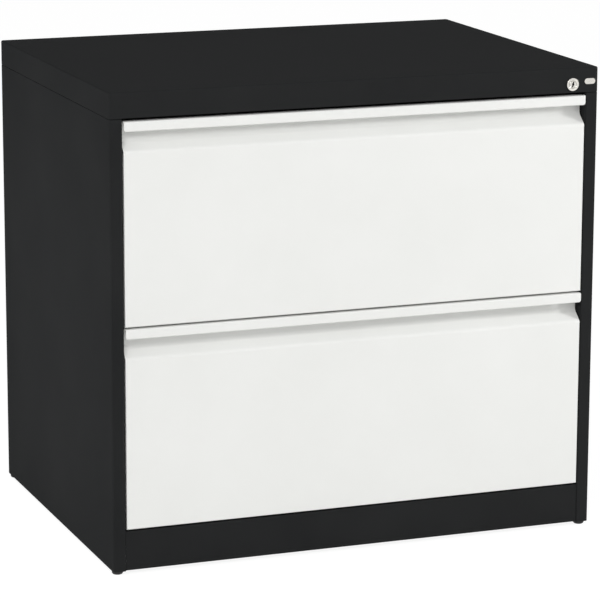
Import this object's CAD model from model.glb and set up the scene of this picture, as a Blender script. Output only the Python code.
import math

import bmesh
import bpy
from mathutils import Matrix, Vector


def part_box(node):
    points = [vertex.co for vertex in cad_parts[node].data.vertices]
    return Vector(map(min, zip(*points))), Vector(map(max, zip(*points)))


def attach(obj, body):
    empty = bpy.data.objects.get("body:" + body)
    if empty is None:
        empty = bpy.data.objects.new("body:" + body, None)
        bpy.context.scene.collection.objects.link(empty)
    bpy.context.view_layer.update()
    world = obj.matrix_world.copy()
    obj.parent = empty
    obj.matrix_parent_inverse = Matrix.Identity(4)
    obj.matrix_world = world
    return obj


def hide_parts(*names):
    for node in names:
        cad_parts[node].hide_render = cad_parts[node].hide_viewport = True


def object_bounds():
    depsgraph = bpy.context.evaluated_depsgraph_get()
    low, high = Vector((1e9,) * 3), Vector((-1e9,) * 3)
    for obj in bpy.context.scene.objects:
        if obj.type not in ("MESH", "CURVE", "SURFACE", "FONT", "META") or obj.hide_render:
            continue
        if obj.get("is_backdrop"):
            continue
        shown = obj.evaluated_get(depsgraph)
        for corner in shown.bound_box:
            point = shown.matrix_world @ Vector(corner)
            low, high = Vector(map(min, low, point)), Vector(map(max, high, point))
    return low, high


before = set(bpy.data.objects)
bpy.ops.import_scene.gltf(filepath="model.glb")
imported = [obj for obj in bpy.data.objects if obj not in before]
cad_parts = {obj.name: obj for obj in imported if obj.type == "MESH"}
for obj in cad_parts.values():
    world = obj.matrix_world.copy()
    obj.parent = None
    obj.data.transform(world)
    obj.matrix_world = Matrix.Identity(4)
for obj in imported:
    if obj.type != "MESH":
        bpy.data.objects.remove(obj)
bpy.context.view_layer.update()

# Side panels: the outer skin of each side, black-grey powder-coated sheet steel. Each is folded from one
# blank, round the front corner into the stile and its hem, and round the rear corner into a return for the
# back. A flange at its foot carries weld nuts for the levelling feet, and the panel is welded to the posts.
MM = 0.001
HANDS = {"left": -1, "right": 1}
ENDS = ("front", "rear")
CARCASS_SHEET = 1.2 * MM
SHEET_BEND = 1.8 * MM
CORNER_BEND = 4 * MM
STILE_WIDTH = 20 * MM
STILE_HEM = 4.2 * MM
FLANGE_WIDTH = 12 * MM
TOP_FLANGE_AHEAD, TOP_FLANGE_BEHIND = 0.85, 0.77
NUT_OUTLINE = [(4.4, 0), (6.5, 0), (6.5, 7), (5.6, 8), (4.4, 8), (4.4, 0)]
NUT_SIDES = 24
BLACK_GREY = (0.0205, 0.0212, 0.0218, 1)
BLACK_GREY_CLOUD = (0.0245, 0.0252, 0.0257, 1)
BLACK_GREY_EDGE = (0.036, 0.037, 0.038, 1)
X, Y, Z = Vector((1, 0, 0)), Vector((0, 1, 0)), Vector((0, 0, 1))
TINY = 0.01 * MM


def put(tree, kind, fed=None, **settings):
    """A shader node with its settings, and its sockets fed from other sockets or set to values."""
    node = tree.nodes.new("ShaderNode" + kind)
    for name, value in settings.items():
        setattr(node, name, value)
    for socket, value in (fed or {}).items():
        if isinstance(value, bpy.types.NodeSocket):
            tree.links.new(value, node.inputs[socket])
        else:
            node.inputs[socket].default_value = value
    return node


def effect(name, inputs, outputs):
    """An empty node group with number sockets, and the sockets that its nodes read and feed."""
    tree = bpy.data.node_groups.new(name, "ShaderNodeTree")
    for label in inputs:
        tree.interface.new_socket(label, in_out="INPUT", socket_type="NodeSocketFloat")
    for label in outputs:
        tree.interface.new_socket(label, in_out="OUTPUT", socket_type="NodeSocketFloat")
    return tree, tree.nodes.new("NodeGroupInput").outputs, tree.nodes.new("NodeGroupOutput").inputs


def blended(tree, share, first, second):
    """A colour between two others."""
    return put(tree, "Mix", {0: share, 6: first, 7: second}, data_type="RGBA").outputs[2]


def ranged(tree, share, low, high):
    """A number between two others."""
    return put(tree, "MapRange", {"Value": share, "To Min": low, "To Max": high}).outputs["Result"]


# The skin that cures from powder: a fine peel with a finer grain on it, and broad clouds of tone.
GRAIN_PER_METRE = 2600
GRAIN_SHARE = 0.35
CLOUD_RANGE = {"From Min": 0.3, "From Max": 0.7}
coat_skin, given, result = effect("coat_skin", ["Peel per metre", "Clouds per metre"], ["Height", "Cloud"])
place = put(coat_skin, "TexCoord").outputs["Object"]
peel = put(coat_skin, "TexNoise", {"Vector": place, "Scale": given["Peel per metre"], "Detail": 1})
grain = put(coat_skin, "TexVoronoi", {"Vector": place, "Scale": GRAIN_PER_METRE}, feature="SMOOTH_F1")
height = put(
    coat_skin, "Math", {0: grain.outputs["Distance"], 1: GRAIN_SHARE, 2: peel.outputs["Fac"]},
    operation="MULTIPLY_ADD",
)
cloud = put(coat_skin, "TexNoise", {"Vector": place, "Scale": given["Clouds per metre"], "Detail": 3})
spread = put(coat_skin, "MapRange", {"Value": cloud.outputs["Fac"], **CLOUD_RANGE})
coat_skin.links.new(height.outputs["Value"], result["Height"])
coat_skin.links.new(spread.outputs["Result"], result["Cloud"])

# Where a coat is thin or rubbed: along the edges of the sheet, broken up by handling.
EDGE_TURN = {"From Min": 0.99, "From Max": 0.8}
RUBBED_RANGE = {"From Min": 0.35, "From Max": 0.65}
edge_wear, given, result = effect("edge_wear", ["Width", "Breaks per metre"], ["Worn"])
rounded = put(edge_wear, "Bevel", {"Radius": given["Width"]}, samples=4)
facing = put(edge_wear, "NewGeometry").outputs["Normal"]
turn = put(edge_wear, "VectorMath", {0: rounded.outputs["Normal"], 1: facing}, operation="DOT_PRODUCT")
edge = put(edge_wear, "MapRange", {"Value": turn.outputs["Value"], **EDGE_TURN})
place = put(edge_wear, "TexCoord").outputs["Object"]
rub = put(edge_wear, "TexNoise", {"Vector": place, "Scale": given["Breaks per metre"], "Detail": 4})
broken = put(edge_wear, "MapRange", {"Value": rub.outputs["Fac"], **RUBBED_RANGE})
worn = put(
    edge_wear, "Math", {0: edge.outputs["Result"], 1: broken.outputs["Result"]}, operation="MULTIPLY"
)
edge_wear.links.new(worn.outputs["Value"], result["Worn"])

COAT_SCALE = {"Peel per metre": 420, "Clouds per metre": 7}
COAT_WEAR = {"Width": 1.2 * MM, "Breaks per metre": 35}
PEEL_HEIGHT = 0.1 * MM


def powder_coat(name, colour, cloud_colour, edge_colour, roughness, specular, peel_depth):
    """Powder-coated sheet steel."""
    finish = bpy.data.materials.new(name)
    finish.use_nodes = True
    tree = finish.node_tree
    shader = tree.nodes["Principled BSDF"]
    skin = put(tree, "Group", COAT_SCALE, node_tree=coat_skin).outputs
    worn = put(tree, "Group", COAT_WEAR, node_tree=edge_wear).outputs["Worn"]
    tone = blended(tree, skin["Cloud"], colour, cloud_colour)
    tree.links.new(blended(tree, worn, tone, edge_colour), shader.inputs["Base Color"])
    tree.links.new(ranged(tree, skin["Cloud"], *roughness), shader.inputs["Roughness"])
    bump = put(tree, "Bump", {"Height": skin["Height"], "Strength": peel_depth, "Distance": PEEL_HEIGHT})
    tree.links.new(bump.outputs["Normal"], shader.inputs["Normal"])
    shader.inputs["Specular IOR Level"].default_value = specular
    return finish


carcass_coat = powder_coat(
    "carcass_coat", BLACK_GREY, BLACK_GREY_CLOUD, BLACK_GREY_EDGE,
    roughness=(0.72, 0.82), specular=0.004, peel_depth=0.3,
)

LEAST_BEND_STEPS = 4
REACH_PER_STEP = 1.5 * MM


def bend_line(bm, corners):
    """A wire through corners, each a point and how far its bend reaches along the sheet."""
    points = [bm.verts.new(point) for point, _ in corners]
    for pair in zip(points, points[1:]):
        bm.edges.new(pair)
    for point, (_, reach) in zip(points, corners):
        if reach:
            steps = LEAST_BEND_STEPS + int(reach / REACH_PER_STEP)
            bmesh.ops.bevel(
                bm, geom=[point], offset=reach, segments=steps, profile=0.5, affect="VERTICES", material=-1
            )
    return [edge for edge in bm.edges if edge.is_wire]


def bent_strip(bm, corners, run):
    """A strip of sheet, bent along its corners and as long as its run."""
    made = bmesh.ops.extrude_edge_only(bm, edges=bend_line(bm, corners))["geom"]
    far = [item for item in made if isinstance(item, bmesh.types.BMVert)]
    bmesh.ops.translate(bm, verts=far, vec=run)
    return [item for item in made if isinstance(item, bmesh.types.BMFace)]


def thicken(bm, faces, sheet, outside):
    """Gives a sheet its thickness, behind its largest face, which looks outside."""
    bmesh.ops.recalc_face_normals(bm, faces=faces)
    bm.normal_update()
    if max(faces, key=lambda face: face.calc_area()).normal.dot(outside) < 0:
        bmesh.ops.reverse_faces(bm, faces=faces)
    bmesh.ops.solidify(bm, geom=faces, thickness=sheet)


def plate(bm, low, high):
    """A flat bar of sheet between two opposite corners."""
    low, high = Vector(low), Vector(high)
    size = Vector([abs(length) for length in high - low])
    bmesh.ops.create_cube(bm, size=1, matrix=Matrix.LocRotScale((low + high) / 2, None, size))
    bm.normal_update()


def turned(bm, outline, foot, axis, sides):
    """A turned form: an outline of radius, height and bend in millimetres, spun round an axis."""
    before = set(bm.faces)
    side = axis.orthogonal().normalized()
    corners = [(foot + (side * point[0] + axis * point[1]) * MM, (*point, 0)[2] * MM) for point in outline]
    edges = bend_line(bm, corners)
    points = dict.fromkeys(point for edge in edges for point in edge.verts)
    bmesh.ops.spin(
        bm, geom=[*points, *edges], cent=foot, axis=axis, angle=math.tau, steps=sides, use_merge=True
    )
    bmesh.ops.remove_doubles(bm, verts=bm.verts[:], dist=TINY / 10)
    bmesh.ops.recalc_face_normals(bm, faces=[face for face in bm.faces if face not in before])


EDGE_STEPS = 2
EDGE_ANGLE = math.radians(40)
BROKEN_EDGE = 0.25 * MM


def soften(piece, edge):
    """Breaks a piece's sharp edges, and keeps its flat faces flat."""
    broken = piece.modifiers.new("broken_edges", "BEVEL")
    broken.width = edge
    broken.segments = EDGE_STEPS
    broken.limit_method = "ANGLE"
    broken.angle_limit = EDGE_ANGLE
    flat = piece.modifiers.new("flat_faces", "WEIGHTED_NORMAL")
    flat.keep_sharp = True


def finished(name, bm, finish, body, nodes=(), edge=BROKEN_EDGE):
    """A mesh as a piece of the cabinet, in its place."""
    mesh = bpy.data.meshes.new(name)
    bm.to_mesh(mesh)
    bm.free()
    mesh.shade_smooth()
    mesh.materials.append(finish)
    piece = bpy.data.objects.new(name, mesh)
    bpy.context.scene.collection.objects.link(piece)
    soften(piece, edge)
    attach(piece, body)
    if nodes:
        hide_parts(*nodes)
    return piece


for hand, side in HANDS.items():
    low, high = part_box(f"side_panel_{hand}")
    outer = max(abs(low.x), abs(high.x))
    stile = side * (outer - STILE_WIDTH)
    bm = bmesh.new()
    skin = bent_strip(
        bm,
        [
            ((stile, low.y + STILE_HEM, low.z), 0),
            ((stile, low.y, low.z), SHEET_BEND),
            ((side * outer, low.y, low.z), CORNER_BEND),
            ((side * outer, high.y, low.z), CORNER_BEND),
            ((stile, high.y, low.z), 0),
        ],
        Z * (high.z - low.z),
    )
    thicken(bm, skin, CARCASS_SHEET, X * side)
    wall = side * (outer - CARCASS_SHEET / 2)
    tip = side * (outer - FLANGE_WIDTH - CARCASS_SHEET)
    front, rear = low.y + STILE_HEM + CARCASS_SHEET, high.y - 2 * CARCASS_SHEET
    plate(bm, (tip, front, low.z), (wall, rear, low.z + CARCASS_SHEET))
    front, rear = low.y * TOP_FLANGE_AHEAD, high.y * TOP_FLANGE_BEHIND
    plate(bm, (tip, front, high.z - CARCASS_SHEET), (wall, rear, high.z))
    for end in ENDS:
        foot_low, foot_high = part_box(f"foot_{end}_{hand}")
        foot = (foot_low + foot_high) / 2
        foot.z = low.z + CARCASS_SHEET
        turned(bm, NUT_OUTLINE, foot, Z, NUT_SIDES)
    node = f"side_panel_{hand}"
    finished(f"side_panel_skin_{hand}", bm, carcass_coat, "carcass", [node])

# Posts: the inner uprights, channels folded from the same sheet and coated with it, which stand behind the
# stiles and at the back and carry the slides. The right-hand front one has windows for the lock's hooks.
FLAT_ANGLE = math.radians(0.5)
DRESSED_EDGE = 0.2 * MM


def dress(node_name, finish, edge=DRESSED_EDGE):
    """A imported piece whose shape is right: its triangles joined, its edges broken, and its finish on it."""
    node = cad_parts[node_name]
    joined = node.modifiers.new("joined_corners", "WELD")
    joined.merge_threshold = TINY
    whole = node.modifiers.new("whole_faces", "DECIMATE")
    whole.decimate_type = "DISSOLVE"
    whole.angle_limit = FLAT_ANGLE
    soften(node, edge)
    node.material_slots[0].material = finish


for end in ENDS:
    for hand in HANDS:
        dress(f"{end}_post_{hand}", carcass_coat)

# Floor pan and back panel: flat sheets, coated with the carcass. The pan's edges are turned down, and the
# back is riveted along its foot to the pan's rear edge.
RIVET_OUTLINE = [(0, 0.55), (0.9, 0.6), (1.1, 1.05), (2.1, 1.0, 0.4), (3.1, 0.35), (3.1, -0.4), (0, -0.4)]
RIVETS = 6
RIVET_SIDES = 16
RIVET_EDGE = 0.05 * MM
ZINC = (0.56, 0.575, 0.59, 1)
ZINC_STREAK = (0.47, 0.485, 0.51, 1)

# The streaks run front to back, as the slides are rolled and the lock's parts are drawn.
STREAK_STRETCH = (1, 0.05, 1)
STREAK_HEIGHT = 0.02 * MM
METAL_CLOUDS_PER_METRE = 60
drawn_streaks, given, result = effect("drawn_streaks", ["Streaks per metre"], ["Streak", "Cloud"])
place = put(drawn_streaks, "TexCoord").outputs["Object"]
along = put(drawn_streaks, "Mapping", {"Vector": place, "Scale": STREAK_STRETCH}).outputs["Vector"]
streak = put(drawn_streaks, "TexNoise", {"Vector": along, "Scale": given["Streaks per metre"], "Detail": 3})
cloud = put(drawn_streaks, "TexNoise", {"Vector": place, "Scale": METAL_CLOUDS_PER_METRE, "Detail": 4})
spread = put(drawn_streaks, "MapRange", {"Value": cloud.outputs["Fac"], **CLOUD_RANGE})
drawn_streaks.links.new(streak.outputs["Fac"], result["Streak"])
drawn_streaks.links.new(spread.outputs["Result"], result["Cloud"])


def metal(name, colour, streak_colour, roughness, streaks, bump_depth):
    """Bare or plated metal, with the faint streaks that drawing and rolling leave."""
    finish = bpy.data.materials.new(name)
    finish.use_nodes = True
    tree = finish.node_tree
    shader = tree.nodes["Principled BSDF"]
    drawn = put(tree, "Group", {"Streaks per metre": streaks}, node_tree=drawn_streaks).outputs
    tree.links.new(blended(tree, drawn["Cloud"], colour, streak_colour), shader.inputs["Base Color"])
    tree.links.new(ranged(tree, drawn["Streak"], *roughness), shader.inputs["Roughness"])
    height = {"Height": drawn["Streak"], "Strength": bump_depth, "Distance": STREAK_HEIGHT}
    bump = put(tree, "Bump", height)
    tree.links.new(bump.outputs["Normal"], shader.inputs["Normal"])
    shader.inputs["Metallic"].default_value = 1
    return finish


zinc = metal("zinc", ZINC, ZINC_STREAK, roughness=(0.26, 0.44), streaks=900, bump_depth=0.25)
dress("floor_pan", carcass_coat)
dress("back_panel", carcass_coat)
low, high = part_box("back_panel")
pan_low, pan_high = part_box("floor_pan")
bm = bmesh.new()
for number in range(RIVETS):
    across = low.x + (high.x - low.x) * (number + 0.5) / RIVETS
    turned(bm, RIVET_OUTLINE, Vector((across, high.y, (pan_low.z + pan_high.z) / 2)), Y, RIVET_SIDES)
finished("back_rivets", bm, zinc, "carcass", edge=RIVET_EDGE)

# Plinth: the dark rail under the lower drawer, a channel folded from the carcass sheet, which stands a
# little behind the fronts and is welded between the front posts.
low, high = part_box("plinth")
bm = bmesh.new()
rail = bent_strip(
    bm,
    [
        ((low.x, high.y, high.z), 0),
        ((low.x, low.y, high.z), SHEET_BEND),
        ((low.x, low.y, low.z), SHEET_BEND),
        ((low.x, high.y, low.z), 0),
    ],
    X * (high.x - low.x),
)
thicken(bm, rail, CARCASS_SHEET, -Y)
finished("plinth_rail", bm, carcass_coat, "carcass", ["plinth"])

# Hood: the top of the cabinet, a tray drawn from one coated sheet with rounded edges and corners. It drops
# over the posts and leaves a fine seam above the side panels. Its front skirt is the fascia, with a
# stiffening return folded back under it.
HOOD_EDGE_BEND = 2.5 * MM
FASCIA_BEND = 1.6 * MM
FASCIA_RETURN = 13 * MM
FASCIA_END = 0.6 * MM
BEND_STEPS = 6
FACING = 0.9
low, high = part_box("hood")
bm = bmesh.new()
plate(bm, low, high)
underneath = [face for face in bm.faces if face.normal.z < -FACING]
bmesh.ops.delete(bm, geom=underneath, context="FACES_ONLY")
uprights = [edge for edge in bm.edges if abs(edge.verts[0].co.z - edge.verts[1].co.z) > CORNER_BEND]
bmesh.ops.bevel(
    bm, geom=uprights, offset=CORNER_BEND, segments=BEND_STEPS, profile=0.5, affect="EDGES", material=-1
)
brim = [edge for edge in bm.edges if min(point.co.z for point in edge.verts) > high.z - TINY]
bmesh.ops.bevel(
    bm, geom=brim, offset=HOOD_EDGE_BEND, segments=BEND_STEPS, profile=0.5, affect="EDGES", material=-1
)
fascia_end = high.x - STILE_WIDTH - FASCIA_END
for side in HANDS.values():
    everything = [*bm.verts, *bm.edges, *bm.faces]
    bmesh.ops.bisect_plane(bm, geom=everything, plane_co=X * side * fascia_end, plane_no=X)
fold = [
    edge
    for edge in bm.edges
    if edge.is_boundary
    and all(point.co.y < low.y + TINY and abs(point.co.x) < fascia_end + TINY for point in edge.verts)
]
made = bmesh.ops.extrude_edge_only(bm, edges=fold)["geom"]
back = [item for item in made if isinstance(item, bmesh.types.BMVert)]
bmesh.ops.translate(bm, verts=back, vec=Y * (FASCIA_RETURN + CARCASS_SHEET))
bmesh.ops.bevel(
    bm, geom=fold, offset=FASCIA_BEND, segments=BEND_STEPS, profile=0.5, affect="EDGES", material=-1
)
thicken(bm, bm.faces[:], CARCASS_SHEET, Z)
finished("hood_tray", bm, carcass_coat, "carcass", ["hood"])

# Lock: a nickel-plated cylinder with a round bezel in the fascia, held by a nut behind it. The plug has a
# keyway, and its cam lifts a bar behind the right-hand stile, whose two hooks hold the drawers.
BEZEL_OUTLINE = [
    (5.8, 25), (5.8, 0.7), (6.4, 0.1, 0.2), (7.4, 0, 0.3), (10, 0.5, 0.6), (10, 2.2),
    (8, 2.2), (8, 25), (5.8, 25),
]
BEZEL_SIDES = 64
PLUG_SIDES = 48
PLUG_RADIUS = 5.5 * MM
PLUG_CHAMFER = 0.4 * MM
PLUG_SQUARE = 6 * MM
KEYWAY = [
    (-1.1, -4.4), (1.1, -4.4), (1.1, -1.5), (1.9, -0.9), (1.9, 0.7), (1.1, 1.3), (1.1, 4.4), (-1.1, 4.4),
    (-1.1, 2.3), (-1.9, 1.7), (-1.9, -0.3), (-1.1, -0.9),
]
KEYWAY_DEPTH = 12 * MM
KEYWAY_TILT = math.radians(-14)
LOCK_EDGE = 0.08 * MM
NICKEL = (0.76, 0.74, 0.69, 1)
NICKEL_STREAK = (0.68, 0.66, 0.62, 1)
GREASE = (0.02, 0.019, 0.017, 1)
GREASE_STREAK = (0.035, 0.032, 0.028, 1)
nickel = metal("nickel", NICKEL, NICKEL_STREAK, roughness=(0.14, 0.26), streaks=1600, bump_depth=0.15)
greased = metal(
    "greased_keyway", GREASE, GREASE_STREAK, roughness=(0.5, 0.7), streaks=1600, bump_depth=0.15
)
low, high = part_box("lock_housing")
lock_face = Vector(((low.x + high.x) / 2, low.y, (low.z + high.z) / 2))
bm = bmesh.new()
turned(bm, BEZEL_OUTLINE, lock_face, Y, BEZEL_SIDES)
finished("lock_cylinder", bm, nickel, "carcass", ["lock_housing"], LOCK_EDGE)


def loop_back(bm, loop, move, scale=1):
    """A loop of edges carried back from the plug's face, and scaled about the lock's axis."""
    made = bmesh.ops.extrude_edge_only(bm, edges=loop)["geom"]
    points = [item for item in made if isinstance(item, bmesh.types.BMVert)]
    bmesh.ops.scale(bm, verts=points, vec=(scale, 1, scale), space=Matrix.Translation(-lock_face))
    bmesh.ops.translate(bm, verts=points, vec=Y * move)
    edges = [item for item in made if isinstance(item, bmesh.types.BMEdge)]
    return [edge for edge in edges if set(edge.verts) <= set(points)]


low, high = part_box("lock_plug")
plug_face = Matrix.Translation((lock_face.x, low.y, lock_face.z)) @ Matrix.Rotation(math.pi / 2, 4, "X")
bm = bmesh.new()
bmesh.ops.create_circle(
    bm, cap_ends=False, segments=PLUG_SIDES, radius=PLUG_RADIUS - PLUG_CHAMFER, matrix=plug_face
)
rim = bm.edges[:]
tilt = plug_face @ Matrix.Rotation(KEYWAY_TILT, 4, "Z")
points = [bm.verts.new(tilt @ Vector((across * MM, up * MM, 0))) for across, up in KEYWAY]
mouth = [bm.edges.new(pair) for pair in zip(points, points[1:] + points[:1])]
bmesh.ops.bridge_loops(bm, edges=rim + mouth)
keyway_end = bmesh.ops.contextual_create(bm, geom=loop_back(bm, mouth, KEYWAY_DEPTH))["faces"]
keyway_faces = {face for edge in keyway_end[0].edges for face in edge.link_faces}
shoulder = loop_back(bm, rim, PLUG_CHAMFER, PLUG_RADIUS / (PLUG_RADIUS - PLUG_CHAMFER))
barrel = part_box("lock_housing")[1].y - low.y - PLUG_CHAMFER
bmesh.ops.contextual_create(bm, geom=loop_back(bm, shoulder, barrel))
bmesh.ops.recalc_face_normals(bm, faces=bm.faces[:])
half = Vector((PLUG_SQUARE, 0, PLUG_SQUARE)) / 2
plate(bm, lock_face + Y * barrel - half, Vector((lock_face.x, high.y, lock_face.z)) + half)
for face in bm.faces:
    face.material_index = int(face in keyway_faces)
core = finished("lock_core", bm, nickel, "lock_plug", ["lock_plug"], LOCK_EDGE)
core.data.materials.append(greased)

for node in ("lock_nut", "lock_cam", "lock_bar", "lock_hook_lower", "lock_hook_upper"):
    dress(node, zinc)

# Lock guides: two black plastic mouldings, pushed into the right-hand front post, one low and one high, in
# which the lock's bar slides.
GUIDE_EDGE = 0.4 * MM
MOULD_SCALE = {"Peel per metre": 1500, "Clouds per metre": 40}
MOULD_WEAR = {"Width": 0.8 * MM, "Breaks per metre": 120}
MOULD_GRAIN_DEPTH = 0.3
MOULD_ROUGHNESS = (0.5, 0.64)
BLACK_PLASTIC = (0.007, 0.007, 0.0075, 1)
BLACK_PLASTIC_WORN = (0.014, 0.014, 0.015, 1)


def moulded_plastic(name, colour, worn_colour):
    """Black moulded plastic with the fine grain of its mould."""
    finish = bpy.data.materials.new(name)
    finish.use_nodes = True
    tree = finish.node_tree
    shader = tree.nodes["Principled BSDF"]
    skin = put(tree, "Group", MOULD_SCALE, node_tree=coat_skin).outputs
    worn = put(tree, "Group", MOULD_WEAR, node_tree=edge_wear).outputs["Worn"]
    tone = blended(tree, skin["Cloud"], colour, worn_colour)
    tree.links.new(blended(tree, worn, tone, worn_colour), shader.inputs["Base Color"])
    tree.links.new(ranged(tree, skin["Cloud"], *MOULD_ROUGHNESS), shader.inputs["Roughness"])
    height = {"Height": skin["Height"], "Strength": MOULD_GRAIN_DEPTH, "Distance": PEEL_HEIGHT}
    bump = put(tree, "Bump", height)
    tree.links.new(bump.outputs["Normal"], shader.inputs["Normal"])
    return finish


black_plastic = moulded_plastic("black_plastic", BLACK_PLASTIC, BLACK_PLASTIC_WORN)
for place_name in ("lower", "upper"):
    dress(f"lock_guide_{place_name}", black_plastic, GUIDE_EDGE)

# Plate: a blank round-ended plate of nickel-plated steel, stamped from strip with its front edge rounded
# over, and stuck to the fascia beside the lock.
PLATE_ROUND = 0.3 * MM
PLATE_ROUND_STEPS = 3
PLATE_END_STEPS = 10
PLATE_EDGE = 0.05 * MM
low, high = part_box("blank_plate")
bm = bmesh.new()
round_end = (high.z - low.z) / 2 - TINY
corners = [(low.x, low.z), (high.x, low.z), (high.x, high.z), (low.x, high.z)]
badge = bm.faces.new([bm.verts.new((across, low.y, up)) for across, up in corners])
bmesh.ops.bevel(
    bm, geom=badge.verts[:], offset=round_end, segments=PLATE_END_STEPS, profile=0.5, affect="VERTICES",
    material=-1,
)
made = bmesh.ops.extrude_face_region(bm, geom=bm.faces[:])["geom"]
behind = [item for item in made if isinstance(item, bmesh.types.BMVert)]
bmesh.ops.translate(bm, verts=behind, vec=Y * (high.y - low.y))
bmesh.ops.recalc_face_normals(bm, faces=bm.faces[:])
bm.normal_update()
front_edges = [edge for face in bm.faces if face.normal.y < -FACING for edge in face.edges]
bmesh.ops.bevel(
    bm, geom=front_edges, offset=PLATE_ROUND, segments=PLATE_ROUND_STEPS, profile=0.5, affect="EDGES",
    material=-1,
)
finished("blank_badge", bm, nickel, "carcass", ["blank_plate"], PLATE_EDGE)

# Levelling feet: a moulded plastic pad on a zinc-plated steel screw, one under each corner. The screw turns
# in the weld nut of the side panel's flange.
PAD_OUTLINE = [(0, 0), (6.7, 0, 0.5), (8.5, 1.7, 0.7), (8.5, 4.9, 0.6), (7.6, 5.7, 0.4), (0, 5.7)]
PAD_SIDES = 40
PAD_EDGE = 0.1 * MM
STEM_LOW, STEM_TOP = 5.2, 39.6
STEM_CREST, STEM_ROOT, STEM_POINT = 4.0, 3.4, 2.8
STEM_SIDES = 24
STEM_EDGE = 0.02 * MM
THREAD_PITCH = 1.25
CREST_FROM, CREST_TO = 0.45 * THREAD_PITCH, 0.6 * THREAD_PITCH
thread = [(0, STEM_LOW)]
for turn_number in range(int((STEM_TOP - STEM_LOW) / THREAD_PITCH) - 1):
    level = STEM_LOW + turn_number * THREAD_PITCH
    thread += [(STEM_ROOT, level), (STEM_CREST, level + CREST_FROM), (STEM_CREST, level + CREST_TO)]
thread += [(STEM_ROOT, level + THREAD_PITCH), (STEM_POINT, STEM_TOP), (0, STEM_TOP)]
for end in ENDS:
    for hand in HANDS:
        node = f"foot_{end}_{hand}"
        low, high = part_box(node)
        foot = Vector(((low.x + high.x) / 2, (low.y + high.y) / 2, low.z))
        bm = bmesh.new()
        turned(bm, PAD_OUTLINE, foot, Z, PAD_SIDES)
        pad, body = f"foot_pad_{end}_{hand}", f"levelling_{node}"
        finished(pad, bm, black_plastic, body, [node], PAD_EDGE)
        bm = bmesh.new()
        turned(bm, thread, foot, Z, STEM_SIDES)
        finished(f"foot_stem_{end}_{hand}", bm, zinc, body, edge=STEM_EDGE)

# Drawer fronts: white powder-coated sheet, one blank to each. From the foot it runs up the flat panel,
# slants in and turns up to the back of a full-width finger grip, and comes forward over it to a folded lip.
# Side flanges and a flat liner behind close it into a box.
DRAWERS = ("lower", "upper")
DRAWER_SHEET = 1 * MM
LIP_PROUD = 2.5 * MM
LIP_HEIGHT = 15 * MM
LIP_RETURN = 5 * MM
LIP_BEND = 0.9 * MM
LIP_CORNER = 3 * MM
CORNER_CUTS = 5
FLANGE_BEND_STEPS = 4
LINER_EDGE = 0.3 * MM
FRONT_THICKNESS = 19 * MM
GRIP_HEIGHT = 45 * MM
GRIP_SLANT = math.radians(52)
GRIP_FOLD_BEND = 4 * MM
PANEL_EDGE_BEND = 3.5 * MM
WHITE = (0.86, 0.865, 0.845, 1)
WHITE_CLOUD = (0.88, 0.884, 0.866, 1)
WHITE_EDGE = (0.82, 0.825, 0.81, 1)
front_coat = powder_coat(
    "front_coat", WHITE, WHITE_CLOUD, WHITE_EDGE, roughness=(0.42, 0.5), specular=0.35, peel_depth=0.2
)

for drawer in DRAWERS:
    low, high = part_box(f"{drawer}_front")
    face = low.y + LIP_PROUD
    wall = face + FRONT_THICKNESS - DRAWER_SHEET
    lip_inside, lip_foot = low.y + DRAWER_SHEET, high.z - LIP_HEIGHT + DRAWER_SHEET
    under_top = high.z - DRAWER_SHEET
    panel_top = high.z - GRIP_HEIGHT
    grip_fold = panel_top + (wall - face) / math.tan(GRIP_SLANT)
    bm = bmesh.new()
    sheet = bent_strip(
        bm,
        [
            ((low.x, lip_inside + LIP_RETURN, lip_foot), 0),
            ((low.x, lip_inside, lip_foot), LIP_BEND),
            ((low.x, lip_inside, under_top), LIP_BEND),
            ((low.x, wall, under_top), LIP_BEND),
            ((low.x, wall, grip_fold), GRIP_FOLD_BEND),
            ((low.x, face, panel_top), PANEL_EDGE_BEND),
            ((low.x, face, low.z), SHEET_BEND),
            ((low.x, face + FRONT_THICKNESS, low.z), 0),
        ],
        X * (high.x - low.x),
    )
    panel = max(sheet, key=lambda one: one.calc_area())
    flange_folds = [
        edge for edge in panel.edges if abs(edge.verts[0].co.z - edge.verts[1].co.z) > GRIP_HEIGHT
    ]
    for side in HANDS.values():
        centre = Vector((side * (high.x - LIP_CORNER), lip_inside, lip_foot + LIP_CORNER))
        for cut in range(1, CORNER_CUTS):
            around = math.pi / 2 * cut / CORNER_CUTS
            away = Vector((side * math.cos(around), 0, -math.sin(around)))
            lip = [
                one for one in bm.faces
                if one.calc_center_median().y < lip_inside + LIP_RETURN
                and lip_foot - TINY <= one.calc_center_median().z < under_top - LIP_CORNER
            ]
            parts = dict.fromkeys(item for one in lip for item in (one, *one.edges, *one.verts))
            bmesh.ops.bisect_plane(
                bm, geom=list(parts), plane_co=centre + away * LIP_CORNER, plane_no=away, clear_outer=True
            )
    made = bmesh.ops.extrude_edge_only(bm, edges=flange_folds)["geom"]
    rear = [item for item in made if isinstance(item, bmesh.types.BMVert)]
    bmesh.ops.translate(bm, verts=rear, vec=Y * FRONT_THICKNESS)
    bmesh.ops.bevel(
        bm, geom=flange_folds, offset=LIP_BEND, segments=FLANGE_BEND_STEPS, profile=0.5, affect="EDGES",
        material=-1,
    )
    thicken(bm, bm.faces[:], DRAWER_SHEET, -Y)
    node, body = f"{drawer}_front", f"{drawer}_drawer"
    finished(f"{drawer}_front_sheet", bm, front_coat, body, [node])
    dress(f"{drawer}_front_liner", front_coat, LINER_EDGE)

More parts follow.
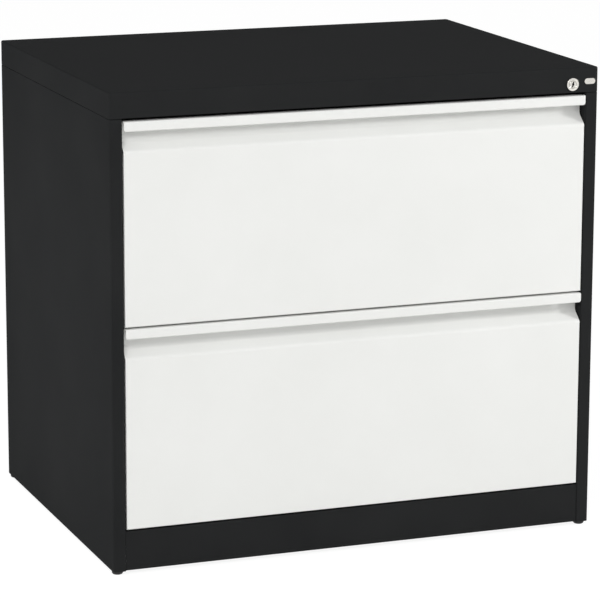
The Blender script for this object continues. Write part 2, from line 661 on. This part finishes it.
# Drawer bodies: coated sheet in the carcass colour. The sides step in at the top to an upstanding rail that
# the suspension files hang from, a channel between the two lanes carries their other ends, and the back is a
# channel with its flanges to the rear. Blind rivets hold the slides to the sides.
RAIL_INSET = 13 * MM
RAIL_UPSTAND = 10 * MM
SIDE_FLANGE = 15 * MM
SLIDE_RIVETS = 4
for drawer in DRAWERS:
    body = f"{drawer}_drawer"
    slide_low, slide_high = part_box(f"{drawer}_slide_inner_right")
    for hand, side in HANDS.items():
        low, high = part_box(f"{drawer}_drawer_side_{hand}")
        outer = max(abs(low.x), abs(high.x))
        shelf = high.z - RAIL_UPSTAND
        bm = bmesh.new()
        sheet = bent_strip(
            bm,
            [
                ((side * (outer - RAIL_INSET), low.y, high.z), 0),
                ((side * (outer - RAIL_INSET), low.y, shelf), SHEET_BEND),
                ((side * outer, low.y, shelf), SHEET_BEND),
                ((side * outer, low.y, low.z), SHEET_BEND),
                ((side * (outer - SIDE_FLANGE), low.y, low.z), 0),
            ],
            Y * (high.y - low.y),
        )
        thicken(bm, sheet, DRAWER_SHEET, X * side)
        node = f"{drawer}_drawer_side_{hand}"
        finished(f"{drawer}_side_sheet_{hand}", bm, carcass_coat, body, [node])
        bm = bmesh.new()
        for number in range(SLIDE_RIVETS):
            along = slide_low.y + (slide_high.y - slide_low.y) * (number + 0.5) / SLIDE_RIVETS
            foot = Vector((side * (outer - DRAWER_SHEET), along, (slide_low.z + slide_high.z) / 2))
            turned(bm, RIVET_OUTLINE, foot, -X * side, RIVET_SIDES)
        finished(f"{drawer}_slide_rivets_{hand}", bm, zinc, body, edge=RIVET_EDGE)
    low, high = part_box(f"{drawer}_drawer_back")
    bm = bmesh.new()
    sheet = bent_strip(
        bm,
        [
            ((low.x, high.y, high.z), 0),
            ((low.x, low.y, high.z), SHEET_BEND),
            ((low.x, low.y, low.z), SHEET_BEND),
            ((low.x, high.y, low.z), 0),
        ],
        X * (high.x - low.x),
    )
    thicken(bm, sheet, DRAWER_SHEET, -Y)
    finished(f"{drawer}_back_sheet", bm, carcass_coat, body, [f"{drawer}_drawer_back"])
    low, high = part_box(f"{drawer}_centre_rail")
    bm = bmesh.new()
    sheet = bent_strip(
        bm,
        [
            ((low.x, low.y, high.z), 0),
            ((low.x, low.y, low.z), SHEET_BEND),
            ((high.x, low.y, low.z), SHEET_BEND),
            ((high.x, low.y, high.z), 0),
        ],
        Y * (high.y - low.y),
    )
    thicken(bm, sheet, DRAWER_SHEET, -Z)
    finished(f"{drawer}_lane_rail", bm, carcass_coat, body, [f"{drawer}_centre_rail"])
    dress(f"{drawer}_drawer_floor", carcass_coat)
    dress(f"{drawer}_lock_catch", zinc)

# Slides: ball-bearing telescopic runners, roll-formed from zinc-plated strip. The outer member is fixed to
# the posts, the middle one runs in it on a cage of balls, and the inner one is riveted to the drawer's side.
SLIDE_SHEET = 1.4 * MM
SLIDE_BEND = 2.2 * MM
TRACK_LIP = 2.3 * MM
TRACK_BEND = 1.6 * MM
SLIDE_EDGE = 0.15 * MM
CAGE_EDGE = 0.1 * MM
SLIDE_BODIES = {"outer": "carcass", "middle": "{}_middle_slides", "inner": "{}_drawer"}
for drawer in DRAWERS:
    for hand, side in HANDS.items():
        for member, body in SLIDE_BODIES.items():
            node = f"{drawer}_slide_{member}_{hand}"
            low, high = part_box(node)
            near, far = sorted((abs(low.x), abs(high.x)))
            web, tip = (near, far) if member == "inner" else (far, near)
            bm = bmesh.new()
            profile = [
                ((side * tip, low.y, low.z + TRACK_LIP), 0),
                ((side * tip, low.y, low.z), TRACK_BEND),
                ((side * web, low.y, low.z), SLIDE_BEND),
                ((side * web, low.y, high.z), SLIDE_BEND),
                ((side * tip, low.y, high.z), TRACK_BEND),
                ((side * tip, low.y, high.z - TRACK_LIP), 0),
            ]
            strip = bent_strip(bm, profile, Y * (high.y - low.y))
            thicken(bm, strip, SLIDE_SHEET, X * side * (web - tip))
            runner = f"{drawer}_runner_{member}_{hand}"
            finished(runner, bm, zinc, body.format(drawer), [node], SLIDE_EDGE)
        for cage in ("outer_cage", "inner_cage"):
            dress(f"{drawer}_{cage}_{hand}", zinc, CAGE_EDGE)

# Studio: a pale floor that shows white and keeps the shadow, pale walls under a dimmer ceiling, a small lamp
# far to the right, a broad one above the eye, a weak one beside the left panel that no metal mirrors, and a
# long lens at the height and angle of the photograph.
FLOOR_REACH = 40
FLOOR_PALE = (0.9, 0.9, 0.89, 1)
FLOOR_SHADOW = (0.2, 0.2, 0.2, 1)
FLOOR_GLOW = 0.9
WALL_LIGHT, CEILING_LIGHT = 0.52, 0.40
PLAIN_WHITE = (1, 1, 1, 1)
LAMPS = {
    "key": {"at": (2.36, -1.3, 1.22), "size": 0.25, "power": 23, "mirrored": True},
    "fill": {"at": (-2.1, -3.5, 3.15), "size": 2.0, "power": 83, "mirrored": True},
    "side": {"at": (-1.2, 0.0, 0.37), "size": 0.4, "power": 3.2, "mirrored": False},
}
AIM = Vector((0, 0, 0.37))
EYE = Vector((-1.725, -4.588, 1.439))
YAW, PITCH, ROLL = math.radians(20.77), math.radians(-12.71), math.radians(0.18)
FOCAL_PIXELS, FRAME_PIXELS, SENSOR = 3128, 600, 36


def seen_directly(tree):
    """One for what the eye, a mirror or glass sees, and nought for the light that falls on things."""
    path = put(tree, "LightPath").outputs
    either = put(tree, "Math", {0: path["Is Camera Ray"], 1: path["Is Glossy Ray"]}, operation="MAXIMUM")
    seen = put(tree, "Math", {0: either.outputs[0], 1: path["Is Transmission Ray"]}, operation="MAXIMUM")
    return seen.outputs[0]


scene = bpy.context.scene
floor_finish = bpy.data.materials.new("floor_finish")
floor_finish.use_nodes = True
tree = floor_finish.node_tree
tree.nodes.clear()
glow = put(tree, "Emission", {"Strength": FLOOR_GLOW})
shade = put(tree, "BsdfDiffuse", {"Color": FLOOR_SHADOW})
shown = put(tree, "AddShader", {0: glow.outputs[0], 1: shade.outputs[0]})
pale = put(tree, "BsdfDiffuse", {"Color": FLOOR_PALE})
both = put(tree, "MixShader", {0: seen_directly(tree), 1: pale.outputs[0], 2: shown.outputs[0]})
put(tree, "OutputMaterial", {"Surface": both.outputs[0]})
bm = bmesh.new()
bmesh.ops.create_grid(bm, x_segments=1, y_segments=1, size=FLOOR_REACH)
mesh = bpy.data.meshes.new("floor")
bm.to_mesh(mesh)
bm.free()
mesh.materials.append(floor_finish)
floor = bpy.data.objects.new("floor", mesh)
scene.collection.objects.link(floor)
floor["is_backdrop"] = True

world = bpy.data.worlds.new("surround")
scene.world = world
world.use_nodes = True
tree = world.node_tree
tree.nodes.clear()
way = put(tree, "SeparateXYZ", {"Vector": put(tree, "TexCoord").outputs["Generated"]}).outputs["Z"]
strength = ranged(tree, way, WALL_LIGHT, CEILING_LIGHT)
ambient = put(tree, "Background", {"Color": PLAIN_WHITE, "Strength": strength})
white = put(tree, "Background", {"Color": PLAIN_WHITE, "Strength": 1})
both = put(tree, "MixShader", {0: seen_directly(tree), 1: ambient.outputs[0], 2: white.outputs[0]})
put(tree, "OutputWorld", {"Surface": both.outputs[0]})

for name, lamp in LAMPS.items():
    light = bpy.data.lights.new(f"{name}_lamp", "AREA")
    light.size = lamp["size"]
    light.energy = lamp["power"]
    lamp_object = bpy.data.objects.new(f"{name}_lamp", light)
    lamp_object.location = lamp["at"]
    lamp_object.visible_camera = False
    lamp_object.visible_glossy = lamp["mirrored"]
    lamp_object.rotation_euler = (AIM - lamp_object.location).to_track_quat("-Z", "Y").to_euler()
    scene.collection.objects.link(lamp_object)

ahead = Vector((math.cos(PITCH) * math.sin(YAW), math.cos(PITCH) * math.cos(YAW), math.sin(PITCH)))
level = Vector((math.cos(YAW), -math.sin(YAW), 0))
above = level.cross(ahead)
right = math.cos(ROLL) * level + math.sin(ROLL) * above
up = math.cos(ROLL) * above - math.sin(ROLL) * level
lens = bpy.data.cameras.new("camera")
lens.sensor_width = SENSOR
lens.lens = FOCAL_PIXELS / FRAME_PIXELS * SENSOR
camera = bpy.data.objects.new("camera", lens)
camera.matrix_world = Matrix.Translation(EYE) @ Matrix((right, up, -ahead)).transposed().to_4x4()
scene.collection.objects.link(camera)
scene.camera = camera
scene.view_settings.view_transform = "Standard"

low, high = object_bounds()
